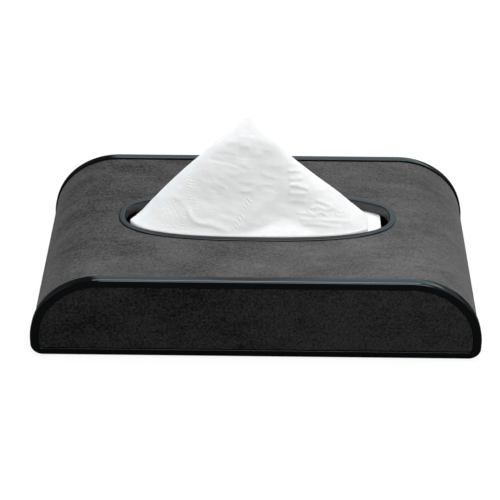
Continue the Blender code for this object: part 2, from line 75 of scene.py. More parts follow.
def plain_material(name, colour, roughness, metallic=0.0):
    """A Principled material, returned with its node tree and its shader."""
    made = bpy.data.materials.new(name)
    made.use_nodes = True
    tree = made.node_tree
    shader = tree.nodes["Principled BSDF"]
    shader.inputs["Base Color"].default_value = (*colour, 1.0)
    shader.inputs["Roughness"].default_value = roughness
    shader.inputs["Metallic"].default_value = metallic
    made.diffuse_color = (*colour, 1.0)
    return made, tree, shader


def add_noise(tree, scale, detail, stretch=(1, 1, 1), roughness=0.5):
    """A noise texture on Object coordinates that are multiplied by stretch along each axis."""
    place = tree.nodes.new("ShaderNodeTexCoord")
    mapping = tree.nodes.new("ShaderNodeMapping")
    mapping.inputs["Scale"].default_value = stretch
    noise = tree.nodes.new("ShaderNodeTexNoise")
    noise.inputs["Scale"].default_value = scale
    noise.inputs["Detail"].default_value = detail
    noise.inputs["Roughness"].default_value = roughness
    tree.links.new(place.outputs["Object"], mapping.inputs["Vector"])
    tree.links.new(mapping.outputs["Vector"], noise.inputs["Vector"])
    return noise.outputs["Fac"]


def add_bump(tree, shader, height, depth, strength=1.0, under=None):
    """A bump of that depth in metres from a height output; under is a bump that it lies on."""
    bump = tree.nodes.new("ShaderNodeBump")
    bump.inputs["Distance"].default_value = depth
    bump.inputs["Strength"].default_value = strength
    tree.links.new(height, bump.inputs["Height"])
    if under:
        tree.links.new(under.outputs["Normal"], bump.inputs["Normal"])
    tree.links.new(bump.outputs["Normal"], shader.inputs["Normal"])
    return bump


def add_ramp(tree, factor, stops):
    """A colour ramp through (place, colour) stops, driven by a factor output."""
    ramp = tree.nodes.new("ShaderNodeValToRGB")
    while len(ramp.color_ramp.elements) < len(stops):
        ramp.color_ramp.elements.new(0.5)
    for element, (place, colour) in zip(ramp.color_ramp.elements, stops):
        element.position = place
        element.color = (*colour, 1.0)
    tree.links.new(factor, ramp.inputs["Fac"])
    return ramp.outputs["Color"]


def vary(tree, shader, socket, noise, low, high):
    """Drives a shader's socket by noise, between two (noise level, value) pairs."""
    greys = add_ramp(tree, noise, [(level, (value,) * 3) for level, value in (low, high)])
    tree.links.new(greys, shader.inputs[socket])


def give(node_name, material):
    """Puts a material on a CAD node that keeps its own shape."""
    slots = frame["nodes"][node_name].data.materials
    slots.clear()
    slots.append(material)


def softened(node_name, material, body, radius):
    """A copy of a CAD node, its triangles joined into faces and its edges rounded by a Bevel."""
    mesh = frame["nodes"][node_name].data.copy()
    piece = bpy.data.objects.new(node_name + "_moulding", mesh)
    bpy.context.scene.collection.objects.link(piece)
    mesh.materials.clear()
    mesh.materials.append(material)
    shape = bmesh.new()
    shape.from_mesh(mesh)
    bmesh.ops.remove_doubles(shape, verts=shape.verts, dist=weld_distance)
    bmesh.ops.dissolve_limit(shape, angle_limit=flat_angle, verts=shape.verts, edges=shape.edges)
    shape.to_mesh(mesh)
    shape.free()
    rounding = piece.modifiers.new("rounding", "BEVEL")
    rounding.width = radius
    rounding.segments = 2
    rounding.limit_method = "ANGLE"
    rounding.angle_limit = edge_angle
    mesh.shade_smooth()
    mesh.set_sharp_from_angle(angle=edge_angle)
    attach(piece, body)
    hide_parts(node_name)


moulded, tree, shader = plain_material("spark_eroded_black_abs", (0.020, 0.020, 0.021), 0.55)
add_bump(tree, shader, add_noise(tree, 2600, 3), depth=0.00004, strength=0.6)
vary(tree, shader, "Roughness", add_noise(tree, 60, 4), (0.3, 0.48), (0.7, 0.62))
softened("base_plate", moulded, "base", plate_edge)

rubber, tree, shader = plain_material("matt_rubber", (0.018, 0.018, 0.019), 0.85)
vary(tree, shader, "Base Color", add_noise(tree, 240, 5), (0.35, 0.015), (0.7, 0.026))
add_bump(tree, shader, add_noise(tree, 1800, 4), depth=0.00005, strength=0.5)
for corner in four_corners:
    give("foot_" + corner, rubber)


# --------------------------------------------------------------------------------------------------
# Magnets and screws: nickel-plated discs pressed into the posts and lugs, and zinc-plated pan-head
# screws that draw the end boards and frames on to the shell.

nickel, tree, shader = plain_material("bright_nickel", (0.62, 0.60, 0.56), 0.22, metallic=1.0)
scuffs = add_noise(tree, 900, 5, stretch=(1, 6, 1))
vary(tree, shader, "Roughness", scuffs, (0.35, 0.16), (0.7, 0.34))
zinc, tree, shader = plain_material("zinc_plate", (0.44, 0.44, 0.45), 0.36, metallic=1.0)
spangle = add_noise(tree, 1500, 4)
vary(tree, shader, "Roughness", spangle, (0.35, 0.28), (0.7, 0.46))
add_bump(tree, shader, spangle, depth=0.00002, strength=0.4)
for corner in four_corners:
    give("base_magnet_" + corner, nickel)
    give("cover_magnet_" + corner, nickel)
for end in ("front", "rear"):
    for place in ("lower_left", "lower_right", "upper_left", "upper_right"):
        give(f"{end}_screw_{place}", zinc)


# --------------------------------------------------------------------------------------------------
# Tissue stack: interfolded two-ply tissues, cut straight at both ends. Front and back show the
# round folds of the sheets, and the ends their cut edges, each sheet a little in or out of line.

stack_length, stack_depth = 0.1372, 0.092
stack_low, stack_high = 0.0048, 0.0398
stack_fold, stack_corner = 0.009, 0.0012
sheet_pitch, slip_reach, groove_depth = 0.00072, 0.00022, 0.00012
wave_share, wave_rise, wave_points = 0.8, 0.002, 10
swell, swell_reach, swell_power = 0.0029, 0.0290, 4
end_draw, draw_power = 0.0040, 5
side_points, corner_points = 60, 8
stack_levels, slip_count = 220, 80
lid_rings, lid_rim_share, lid_heart_share = 40, 0.985, 0.6


def lattice(name, points, material, join_rows=False, join_columns=False):
    """A mesh from a grid of points (rows, columns, 3), with a quad between each four neighbours.
    Joined rows or columns close the grid on itself. Points that coincide, along a seam or at a
    pole, merge, and the faces are turned outwards."""
    rows, columns = points.shape[:2]
    index = np.arange(rows * columns).reshape(rows, columns)
    if join_rows:
        index = np.vstack([index, index[:1]])
    if join_columns:
        index = np.hstack([index, index[:, :1]])
    quads = np.stack([index[:-1, :-1], index[:-1, 1:], index[1:, 1:], index[1:, :-1]], axis=-1)
    mesh = bpy.data.meshes.new(name)
    mesh.from_pydata(points.reshape(-1, 3), [], quads.reshape(-1, 4))
    shape = bmesh.new()
    shape.from_mesh(mesh)
    bmesh.ops.remove_doubles(shape, verts=shape.verts, dist=weld_distance)
    bmesh.ops.recalc_face_normals(shape, faces=shape.faces)
    shape.to_mesh(mesh)
    shape.free()
    mesh.shade_smooth()
    mesh.materials.append(material)
    piece = bpy.data.objects.new(name, mesh)
    bpy.context.scene.collection.objects.link(piece)
    return piece


def cloudy(down, over, seed):
    """Smooth noise from -1 to 1 at places counted in cells from the middle of a lattice of random
    values, which the smooth step 3t^2 - 2t^3 blends along its rows and columns."""
    cells = 100
    source = np.random.default_rng(seed).uniform(-1, 1, (2 * cells + 1, 2 * cells + 1))
    down, over = down + cells, over + cells
    row, column = np.floor(down).astype(int), np.floor(over).astype(int)
    t, s = down - row, over - column
    t, s = t * t * (3 - 2 * t), s * s * (3 - 2 * s)
    top = source[row, column] * (1 - s) + source[row, column + 1] * s
    bottom = source[row + 1, column] * (1 - s) + source[row + 1, column + 1] * s
    return top * (1 - t) + bottom * t


def tissue_material(name, white, shade):
    """Soft tissue: cloudy between its white and its shade, with a bump of fine crossing fibres.
    Returns the material, its node tree, its shader and that bump."""
    made, tree, shader = plain_material(name, white, 0.92)
    shader.inputs["Specular IOR Level"].default_value = 0.2
    shader.inputs["Sheen Weight"].default_value = 0.1
    shader.inputs["Subsurface Weight"].default_value = 0.6
    shader.inputs["Subsurface Scale"].default_value = 0.0006
    shader.inputs["Subsurface Radius"].default_value = (1.0, 1.0, 1.0)
    clouds = add_ramp(tree, add_noise(tree, 160, 3), [(0.3, shade), (0.7, white)])
    tree.links.new(clouds, shader.inputs["Base Color"])
    fibres = add_noise(tree, 2200, 5, stretch=(1, 2.2, 1), roughness=0.65)
    return made, tree, shader, add_bump(tree, shader, fibres, depth=0.00006, strength=0.5)


def loop_outline(half_x, half_y, radius):
    """A rectangle with rounded corners as one loop: front, right, rear and left."""
    side_x = np.linspace(radius - half_x, half_x - radius, side_points)
    side_y = np.linspace(radius - half_y, half_y - radius, side_points)
    turn = np.linspace(0, math.pi / 2, corner_points)[1:-1]
    x = np.concatenate([
        side_x, half_x - radius + radius * np.sin(turn),
        np.full(side_points, half_x), half_x - radius + radius * np.cos(turn)])
    y = np.concatenate([
        np.full(side_points, -half_y), radius - half_y - radius * np.cos(turn),
        side_y, half_y - radius + radius * np.sin(turn)])
    return np.concatenate([x, -x]), np.concatenate([y, -y])


def swelling(y):
    """How far the top of the stack swells up under the slot."""
    return swell * np.exp(-(y / swell_reach) ** swell_power)


def folded_stack():
    """Each level of the stack is its outline, drawn in at front and rear by the round of the folds,
    and all round by the slip of its sheet and the groove between two sheets. The pulled sheet has
    drawn in the left quarter of the top sheets. Flat lids close the stack, and every point then
    rises by its share of the swelling."""
    loop_x, loop_y = loop_outline(stack_length / 2, stack_depth / 2, stack_corner)
    height = np.linspace(stack_low, stack_high, stack_levels)[:, None]
    middle = (stack_low + stack_high) / 2
    past = np.clip(np.abs(height - middle) - (middle - stack_low - stack_fold), 0, stack_fold)
    draw_in = stack_fold - np.sqrt(stack_fold**2 - past**2)
    sheet = height / sheet_pitch
    slips = np.random.default_rng(11).uniform(-slip_reach, slip_reach, slip_count)
    slip = slips[np.floor(sheet).astype(int)]
    uneven = slip + slip_reach + groove_depth * np.abs(np.cos(math.pi * sheet))
    waves = cloudy(height / wave_rise, np.arange(len(loop_x)) / wave_points, 5)
    uneven = uneven + wave_share * slip_reach * (1 + waves)
    at_end = np.clip((np.abs(loop_x) - stack_length / 2) / stack_corner + 1, 0, 1)
    at_fold = np.clip((np.abs(loop_y) - stack_depth / 2) / stack_corner + 1, 0, 1)
    x = loop_x * (1 - at_end * uneven * 2 / stack_length)
    to_left = np.clip(-4 * loop_x / stack_length - 1, 0, 1)
    x = x + end_draw * to_left**2 * ((height - stack_low) / (stack_high - stack_low)) ** draw_power
    y = loop_y * (1 - (draw_in + at_fold * uneven) * 2 / stack_depth)
    wall = np.stack([x, y, height + 0 * x], axis=-1)
    share = np.linspace(lid_rim_share, 0, lid_rings)[:, None, None]
    heart_end = lid_heart_share * stack_depth
    heart = np.stack([np.clip(loop_x, -heart_end, heart_end), 0 * loop_y], axis=-1)

    def lid(ring):
        flat = heart + (ring[:, :2] - heart) * share
        return np.concatenate([flat, np.full((*flat.shape[:2], 1), ring[0, 2])], axis=-1)

    whole = np.concatenate([lid(wall[0])[::-1], wall, lid(wall[-1])])
    y, z = whole[:, :, 1], whole[:, :, 2]
    whole[:, :, 2] = z + swelling(y) * (z - stack_low) / (stack_high - stack_low)
    return whole


# Painted shade: the stack's tissue is the pulled sheet's paper painted greyer and a little bluer.
stack_paper = tissue_material(
    "stacked_tissue_painted_shade", white=(0.805, 0.825, 0.842), shade=(0.782, 0.802, 0.819))[0]
stack = lattice("tissue_stack_folded", folded_stack(), stack_paper, join_columns=True)
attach(stack, "base")
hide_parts("tissue_stack")


# --------------------------------------------------------------------------------------------------
# Cover shell and end boards: black ABS mouldings under the suede. The shell's inside, its lips and
# its magnet lugs show when the cover is lifted off.

shell_edge = 0.0002

softened("cover_shell", moulded, "cover", shell_edge)
give("front_board", moulded)
give("rear_board", moulded)


# --------------------------------------------------------------------------------------------------
# Cover suede: one piece of short-napped microfibre suede, glued over the top and both sides and
# turned in under the hem. Brushing has left its nap lying in lighter and darker patches.

cover_width, cover_low, cover_high = 0.240, 0.0006, 0.0494
shoulder_radius, hem_radius, least_radius = 0.0395, 0.0065, 0.0002
suede_sink, suede_thickness, suede_edge = 0.0009, 0.00085, 0.0006
suede_half_depth, hem_end = 0.0600, 0.1059
slot_length, slot_width, slot_back, slot_power = 0.1450, 0.0434, -0.0003, 2.6
slot_clearance = 0.0018
suede_columns, suede_rows, row_spread = 110, 84, 1.7
slope_step = 0.00001


def d_outline(inset, straight=40, shoulder_steps=44, hem_steps=14):
    """The D shape of an end drawn in by each inset: hem arc, shoulder arc, flat top and their
    mirror images, then the flat bottom. Returns x and z with one row for each inset."""
    inset = np.atleast_1d(np.asarray(inset, float))[:, None]
    half, low, high = cover_width / 2 - inset, cover_low + inset, cover_high - inset
    hem = np.maximum(hem_radius - inset, least_radius)
    shoulder = shoulder_radius - inset
    hem_turn = np.linspace(-math.pi / 2, 0, hem_steps)[None, :]
    shoulder_turn = np.linspace(0, math.pi / 2, shoulder_steps)[None, :]
    top = np.linspace(1, 0, straight)[None, 1:]
    x = np.hstack([
        half - hem + hem * np.cos(hem_turn),
        half - shoulder + shoulder * np.cos(shoulder_turn), (half - shoulder) * top])
    z = np.hstack([
        low + hem + hem * np.sin(hem_turn),
        high - shoulder + shoulder * np.sin(shoulder_turn), high + 0 * top])
    bottom = np.linspace(-1, 1, 2 * straight)[None, 1:-1]
    x = np.hstack([x, -x[:, -2::-1], (half - hem) * bottom])
    z = np.hstack([z, z[:, -2::-1], low + 0 * bottom])
    return x, z


def superellipse(turn, half_x, half_y):
    """The slot's shape: cosine and sine, each raised to the power 2/n with its sign kept."""
    power = 2 / slot_power
    return (half_x * np.sign(np.cos(turn)) * np.abs(np.cos(turn)) ** power,
            half_y * np.sign(np.sin(turn)) * np.abs(np.sin(turn)) ** power)


def wrapped_suede():
    """The suede laid flat is a rectangle with the slot in it: rows run from the slot's edge
    straight out to the rectangle's edge. Its length s is then laid round the D outline, and along
    all the rectangle's edges it drops by a quarter circle."""
    straight, shoulder_steps, hem_steps = 300, 300, 80
    x, z = (row[0] for row in d_outline(suede_sink, straight, shoulder_steps, hem_steps))
    half = hem_steps + shoulder_steps + straight - 1
    run_x, run_z = x[:half][::-1], z[:half][::-1]
    run_x, run_z = np.append(run_x, hem_end), np.append(run_z, run_z[-1])
    run = np.concatenate([[0], np.cumsum(np.hypot(np.diff(run_x), np.diff(run_z)))])
    side, edge = np.linspace(-1, 1, suede_columns, endpoint=False), np.ones(suede_columns)
    edge_s = np.concatenate([side, edge, -side, -edge])
    edge_y = np.concatenate([-edge, side, edge, -side])
    hole_s, hole_y = superellipse(
        np.arctan2(edge_y, edge_s),
        slot_length / 2 + slot_clearance, slot_width / 2 + slot_clearance)
    hole_y = hole_y + slot_back
    edge_s, edge_y = edge_s * run[-1], edge_y * suede_half_depth
    share = 1 - (1 - np.linspace(0, 1, suede_rows)[:, None]) ** row_spread
    s = hole_s + (edge_s - hole_s) * share
    y = hole_y + (edge_y - hole_y) * share
    to_edge = np.minimum(suede_half_depth - np.abs(y), run[-1] - np.abs(s))
    into = np.clip(suede_edge - to_edge, 0, suede_edge)
    drop = suede_edge - np.sqrt(suede_edge**2 - into**2)
    ahead, behind = np.abs(s) + slope_step, np.abs(s) - slope_step
    slope_x = np.interp(ahead, run, run_x) - np.interp(behind, run, run_x)
    slope_z = np.interp(ahead, run, run_z) - np.interp(behind, run, run_z)
    length = np.hypot(slope_x, slope_z)
    x = np.interp(np.abs(s), run, run_x) + slope_z / length * drop
    z = np.interp(np.abs(s), run, run_z) - slope_x / length * drop
    return np.stack([np.sign(s) * x, y, z], axis=-1)


def calculate(tree, operation, *values):
    """A Math node on outputs or numbers; returns its output."""
    node = tree.nodes.new("ShaderNodeMath")
    node.operation = operation
    for socket, value in zip(node.inputs, values):
        if isinstance(value, (int, float)):
            socket.default_value = value
        else:
            tree.links.new(value, socket)
    return node.outputs[0]


def suede_material(name, dark, light, patch_scale, weights, painted_light_x, painted_light_y):
    """Short nap: a fine grain in colour and height, over streaks and patches where the nap lies
    another way. Patches, streaks and grain each add their distance from 0.5 times their weight, and
    the colour is also painted lighter by a steady amount for each metre along X and Y, as painted
    light."""
    made, tree, shader = plain_material(name, light, 0.95)
    shader.inputs["Specular IOR Level"].default_value = 0.12
    shader.inputs["Sheen Weight"].default_value = 0.12
    shader.inputs["Sheen Roughness"].default_value = 0.5
    grain = add_noise(tree, 760, 2, roughness=0.6)
    streaks = add_noise(tree, 190, 4, stretch=(1, 1.8, 1.2), roughness=0.65)
    patches = add_noise(tree, patch_scale, 5, stretch=(0.6, 1.5, 1), roughness=0.62)
    place = tree.nodes.new("ShaderNodeTexCoord")
    split = tree.nodes.new("ShaderNodeSeparateXYZ")
    tree.links.new(place.outputs["Object"], split.inputs[0])
    level = calculate(tree, "MULTIPLY_ADD", split.outputs["X"], painted_light_x, 0.5)
    level = calculate(tree, "MULTIPLY_ADD", split.outputs["Y"], painted_light_y, level)
    for output, weight in zip((patches, streaks, grain), weights):
        level = calculate(tree, "MULTIPLY_ADD", output, weight, level)
        level = calculate(tree, "SUBTRACT", level, weight / 2)
    tree.links.new(add_ramp(tree, level, [(0.0, dark), (1.0, light)]), shader.inputs["Base Color"])
    nap = add_bump(tree, shader, streaks, depth=0.0002, strength=0.3)
    add_bump(tree, shader, grain, depth=0.00025, strength=0.7, under=nap)
    return made


# Painted light: the cover suede's colour is painted lighter towards the right and towards the
# front.
top_suede = suede_material(
    "charcoal_suede", dark=(0.012, 0.012, 0.0125), light=(0.109, 0.108, 0.108), patch_scale=46,
    weights=(1.15, 0.55, 1.3), painted_light_x=1.8, painted_light_y=-2.1)
cover_suede = lattice("cover_suede_skin", wrapped_suede(), top_suede, join_columns=True)
wall = cover_suede.modifiers.new("thickness", "SOLIDIFY")
wall.thickness = suede_thickness
wall.offset = -1
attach(cover_suede, "cover")
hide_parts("cover_suede")


# --------------------------------------------------------------------------------------------------
# End frames: polished black ABS hoops, one at each end, clamped under the end boards by a lip. The
# outer arris is rounded and carries a thin highlight.

frame_rim, frame_lip = 0.0045, 0.0085
frame_back, frame_lip_face, frame_front = 0.0603, 0.0615, 0.0650
outer_arris, inner_arris, back_arris = 0.0013, 0.0002, 0.0002
sharp_angle = math.radians(50)
both_ends = (("front", -1), ("rear", 1))

gloss, tree, shader = plain_material("polished_black_abs", (0.002, 0.0021, 0.0023), 0.07)
shader.inputs["Specular Tint"].default_value = (0.80, 0.91, 1.0, 1.0)
add_bump(tree, shader, add_noise(tree, 380, 2), depth=0.00002, strength=0.08)
vary(tree, shader, "Roughness", add_noise(tree, 38, 5), (0.35, 0.06), (0.75, 0.11))


def quarter(centre, radius, start, stop, steps=7):
    """Points on a quarter circle about a centre, from one angle in degrees to another."""
    turn = np.radians(np.linspace(start, stop, steps))
    return np.stack([centre[0] + radius * np.cos(turn), centre[1] + radius * np.sin(turn)], axis=-1)


def hoop(name, section, side, material):
    """A closed section of (inset, depth) points carried round the D outline; side is -1 or 1."""
    x, z = d_outline(section[:, 0])
    y = np.broadcast_to(side * section[:, 1:2], x.shape)
    points = np.stack([x, y, z], axis=-1)
    return lattice(name, points, material, join_rows=True, join_columns=True)


frame_section = np.concatenate([
    [[frame_lip, frame_back]],
    quarter((back_arris, frame_back + back_arris), back_arris, 270, 180, 4),
    [[0, frame_front - 2 * outer_arris]],
    quarter((outer_arris, frame_front - outer_arris), outer_arris, 180, 90, 12),
    quarter((frame_rim - inner_arris, frame_front - inner_arris), inner_arris, 90, 0, 4),
    [[frame_rim, frame_lip_face], [frame_lip, frame_lip_face]],
])
for end, side in both_ends:
    polished = hoop(end + "_frame_polished", frame_section, side, gloss)
    polished.data.set_sharp_from_angle(angle=sharp_angle)
    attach(polished, "cover")
    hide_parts(end + "_frame")


# --------------------------------------------------------------------------------------------------
# End suedes: skins of the cover's suede drawn over the end boards, their edges turned in behind the
# frame's inner edge.

skin_inset, skin_wall, skin_round = 0.0048, 0.0009, 0.0005
skin_back, skin_face = 0.0618, 0.0646
heart_height, heart_reach, face_rows = 0.0245, 0.0860, 30

# Painted shade: the end suede is the cover's suede painted far darker. It is also painted lighter
# towards the right, as painted light.
end_suede = suede_material(
    "end_suede_painted_shade", dark=(0.0, 0.0, 0.0), light=(0.0355, 0.0350, 0.0350), patch_scale=60,
    weights=(1.1, 0.9, 2.4), painted_light_x=1.5, painted_light_y=0)


def skin(name, side, material):
    """A thin pan over the D outline: out from the heart line along its back, round the turned edge,
    and over the face to the heart line again."""
    rounding = quarter((skin_inset + skin_round, skin_face - skin_round), skin_round, 180, 90)
    inwards = np.linspace(1, 0, face_rows)
    section = np.concatenate([
        [[skin_inset + skin_wall, skin_face - skin_wall]] * face_rows,
        [[skin_inset + skin_wall, skin_back], [skin_inset, skin_back]],
        rounding,
        [[skin_inset + skin_round, skin_face]] * (face_rows - 1),
    ])
    share = np.concatenate([inwards[::-1], np.ones(2 + len(rounding)), inwards[1:]])[:, None]
    x, z = d_outline(section[:, 0])
    heart_x = np.clip(x, -heart_reach, heart_reach)
    x = heart_x + (x - heart_x) * share
    z = heart_height + (z - heart_height) * share
    y = np.broadcast_to(side * section[:, 1:2], x.shape)
    return lattice(name, np.stack([x, y, z], axis=-1), material, join_columns=True)


for end, side in both_ends:
    pan = skin(end + "_suede_skin", side, end_suede)
    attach(pan, "cover")
    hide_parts(end + "_suede")


# --------------------------------------------------------------------------------------------------
# Opening ring: a low rim in polished black ABS on the suede and a satin collar through the shell.
# Six tongues, a little longer than the collar, hold it under the shell by their snap hooks.

ring_rim, ring_seat, ring_top = 0.0034, 0.0486, 0.0493
collar_wall, collar_low, collar_round = 0.0015, 0.0434, 0.0003
rim_outer_round, rim_inner_round = 0.0003, 0.0005
satin_top = ring_top - 2.5 * rim_inner_round
hook_low, hook_high, hook_reach, hook_length = 0.0430, 0.0448, 0.0011, 0.0060
hook_root, hook_inset, hook_round, hook_lead = collar_low + 0.0006, 0.0002, 0.0003, 0.0006
hook_places = (-0.045, 0.0, 0.045)
slot_samples, place_samples, ring_steps, tongue_steps = 6001, 2001, 420, 9


def slot_outline(offset, places):
    """The slot's edge moved out along its normal by each offset, at distances along it that are
    given as shares of its whole length, counted from the right end to the rear."""
    turn = np.linspace(0, 2 * math.pi, slot_samples)
    fine_x, fine_y = superellipse(turn, slot_length / 2, slot_width / 2)
    run = np.concatenate([[0], np.cumsum(np.hypot(np.diff(fine_x), np.diff(fine_y)))])
    x, y = (np.interp(places * run[-1], run, fine) for fine in (fine_x, fine_y))
    normal_x = np.sign(x) * np.abs(2 * x / slot_length) ** (slot_power - 1) / slot_length
    normal_y = np.sign(y) * np.abs(2 * y / slot_width) ** (slot_power - 1) / slot_width
    size = np.hypot(normal_x, normal_y)
    offset = np.atleast_1d(np.asarray(offset, float))[:, None]
    return x + offset * normal_x / size, slot_back + y + offset * normal_y / size


def swept_along_slot(section, places):
    """A section of (offset, height) points carried along the slot's edge."""
    x, y = slot_outline(section[:, 0], places)
    return np.stack([x, y, np.broadcast_to(section[:, 1:2], x.shape)], axis=-1)


def joined(pieces):
    """The first piece with the meshes of all the others in its own."""
    shape = bmesh.new()
    for piece in pieces:
        shape.from_mesh(piece.data)
    shape.to_mesh(pieces[0].data)
    shape.free()
    for piece in pieces[1:]:
        bpy.data.objects.remove(piece)
    return pieces[0]


ring_section = np.concatenate([
    [[0, collar_low + collar_round], [0, satin_top]],
    quarter((rim_inner_round, ring_top - rim_inner_round), rim_inner_round, 180, 90, 9),
    quarter((ring_rim - rim_outer_round, ring_top - rim_outer_round), rim_outer_round, 90, 0, 5),
    [[ring_rim, ring_seat], [collar_wall, ring_seat], [collar_wall, collar_low + collar_round],
     [collar_wall - collar_round, collar_low], [collar_round, collar_low]],
])
hook_section = np.array([
    [hook_inset, hook_root], [hook_inset, hook_low + hook_round],
    [hook_inset + hook_round, hook_low], [collar_wall, hook_low],
    [collar_wall + hook_reach, hook_high - hook_lead], [collar_wall + hook_reach, hook_high],
    [collar_wall - hook_inset, hook_high], [collar_wall - hook_inset, hook_root],
])
all_round = np.linspace(0, 1, ring_steps, endpoint=False)
ring_pieces = [lattice(
    "opening_ring_polished", swept_along_slot(ring_section, all_round), gloss,
    join_rows=True, join_columns=True)]
fine_places = np.linspace(0, 0.5, place_samples)
fine_x, fine_y = slot_outline(0, fine_places)
hook_share = hook_length / 2 / np.hypot(np.diff(fine_x[0]), np.diff(fine_y[0])).sum() / 2
for place in hook_places:
    middle = np.interp(-place, -fine_x[0], fine_places)
    for share in (middle, 1 - middle):
        along = np.linspace(share - hook_share, share + hook_share, tongue_steps)
        tongue = swept_along_slot(hook_section, along)
        centre = tongue.mean(axis=0, keepdims=True)
        caps = [np.repeat(centre[:, end], len(hook_section), axis=0)[:, None] for end in (0, -1)]
        tongue = np.concatenate([caps[0], tongue, caps[1]], axis=1)
        ring_pieces.append(lattice(f"hook_{len(ring_pieces)}", tongue, gloss, join_rows=True))
ring = joined(ring_pieces)
satin, tree, shader = plain_material("satin_black_abs", (0.026, 0.0255, 0.0255), 0.5)
add_bump(tree, shader, add_noise(tree, 2200, 3), depth=0.00003, strength=0.5)
ring.data.materials.append(satin)
for face in ring.data.polygons:
    face.material_index = int(face.center.z < satin_top + rim_inner_round / 2)
ring.data.set_sharp_from_angle(angle=sharp_angle)
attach(ring, "cover")
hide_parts("opening_ring")


# --------------------------------------------------------------------------------------------------
# Pulled tissue: the corner of the top sheet, drawn up through the slot. It lines the slot's front
# edge, leans back above a short skirt and narrows to its tip. Embossed rows of dashes hold its
# plies together.

sheet_rise, tip_x, tip_width = 0.0609, -0.0057, 0.0016
sheet_left, sheet_right, sheet_room = 0.851, 0.762, 0.0003
sheet_sway, foot_tuck, foot_gap = -0.0018, 0.0050, 0.0002
corner_cut, cut_fall, cut_power = 0.12, 10, 1.5
tip_bend, tip_lean, tip_blend, tip_drop = 0.0985, 0.27, 0.005, 0.667
sheet_ply = 0.00014
sheet_columns, foot_rows, cone_rows = 270, 16, 148
turn_cosine, turn_sine = 0.96, 0.28
broad_depth, broad_down, broad_over = 0.00019, 0.0060, 0.017
narrow_depth, narrow_down, narrow_lean, narrow_over = 0.00010, 0.0024, 0.016, 0.0070
ring_calm, tip_calm = 14, 5

# Each crease: its width and height, then the x and z of two or more points along it, in
# millimetres. A negative height is a hollow. At both ends a crease fades over 2.2 times its width.
crease_end = 2.2
creases = (
    (0.8, 0.10, -11.5, 100.2, -6.2, 99.8, -0.9, 99.3),
    (1.0, 0.10, -23.8, 92.2, -15.7, 92.6, -9.3, 91.1),
    (1.3, 0.19, -10.4, 94.9, -6.7, 95.6, -2.4, 94.6), (0.7, 0.08, -9.9, 90.5, -4.5, 90.5),
    (0.7, 0.10, -9.8, 88.7, -4.5, 88.7), (0.7, 0.08, -9.8, 86.7, -4.5, 86.7),
    (0.9, -0.14, -26.5, 88.2, -20.0, 87.5, -14.1, 86.7, -9.3, 85.1, -4.5, 83.4),
    (1.2, 0.11, 1.3, 93.0, 5.1, 93.0, 9.9, 91.6),
    (1.2, 0.10, -19.0, 96.5, -14.2, 97.5, -10.4, 96.8),
    (1.0, 0.13, 0.9, 81.9, 5.7, 80.3, 11.1, 78.5), (0.9, 0.10, -21.6, 79.6, -14.6, 79.1),
    (1.0, 0.11, -24.3, 77.3, -20.0, 75.8, -15.1, 73.2),
    (1.0, -0.07, -27.0, 73.5, -23.2, 72.7, -19.4, 70.7),
    (1.1, 0.11, -10.3, 82.2, -6.1, 82.5, -0.7, 81.6),
    (1.1, 0.11, -10.3, 77.3, -6.0, 76.9, -0.7, 77.3),
    (1.1, 0.13, -9.8, 72.7, -5.5, 72.3, -0.6, 72.7), (0.9, 0.10, -1.2, 74.9, 3.1, 75.9, 8.5, 74.8),
    (0.9, 0.10, 1.5, 71.5, 4.7, 72.0, 9.6, 71.1), (1.0, 0.21, 15.3, 85.6, 18.5, 85.6, 22.3, 84.3),
    (1.0, 0.34, 15.3, 82.1, 19.1, 81.7, 24.5, 81.6),
    (1.0, 0.32, 15.9, 78.1, 20.2, 77.7, 25.1, 78.1),
    (1.1, 0.44, 16.5, 75.0, 21.3, 74.7, 28.4, 72.6),
    (1.1, 0.27, 16.0, 70.8, 20.9, 70.4, 27.3, 70.4),
    (1.2, 0.19, 15.5, 66.9, 20.9, 66.6, 27.4, 66.0),
    (1.0, 0.27, 30.6, 67.3, 35.0, 65.7, 41.0, 63.2),
    (0.8, 0.26, 28.0, 62.5, 32.8, 63.8, 36.7, 61.7, 42.6, 62.5),
    (0.8, 0.24, 26.4, 61.8, 30.7, 59.7, 34.5, 60.6, 38.9, 58.7),
    (0.9, 0.19, 20.5, 60.4, 26.4, 60.1, 33.5, 58.4),
    (1.0, 0.24, 22.1, 57.0, 31.9, 57.2, 42.2, 56.1, 52.5, 54.4),
    (0.9, 0.20, 23.3, 54.6, 31.9, 55.0, 39.5, 53.8, 46.0, 52.6),
    (0.8, 0.17, 41.5, 61.5, 44.8, 60.0, 47.5, 60.3),
    (0.8, 0.17, 41.6, 59.0, 45.4, 58.1, 49.2, 58.0),
    (1.7, 0.50, -38.9, 62.5, -36.1, 59.2, -33.4, 56.2, -29.6, 54.9, -25.8, 55.4, -22.0, 54.1,
     -18.2, 52.2, -13.9, 50.0),
    (1.4, 0.24, -42.7, 65.0, -38.9, 63.5, -35.0, 59.8),
    (3.4, 0.41, 11.2, 72.1, 3.7, 66.4, -1.6, 60.3, -8.0, 52.9),
    (4.6, 0.38, -35.1, 80.3, -22.7, 81.1, -9.3, 83.6, 2.5, 84.8),
    (4.6, -0.38, -36.1, 66.7, -24.3, 67.2, -10.3, 68.4, -0.6, 70.0),
    (3.4, 0.34, 10.1, 73.7, 20.3, 72.6, 31.1, 71.2, 38.2, 68.4),
    (3.4, -0.34, 13.4, 63.9, 23.1, 62.7, 32.9, 61.8),
    (3.0, 0.16, -28.1, 93.0, -19.0, 94.8, -9.4, 97.9, 2.4, 95.3),
    (3.6, -0.30, -52.5, 58.8, -45.9, 62.2, -40.5, 67.3),
)

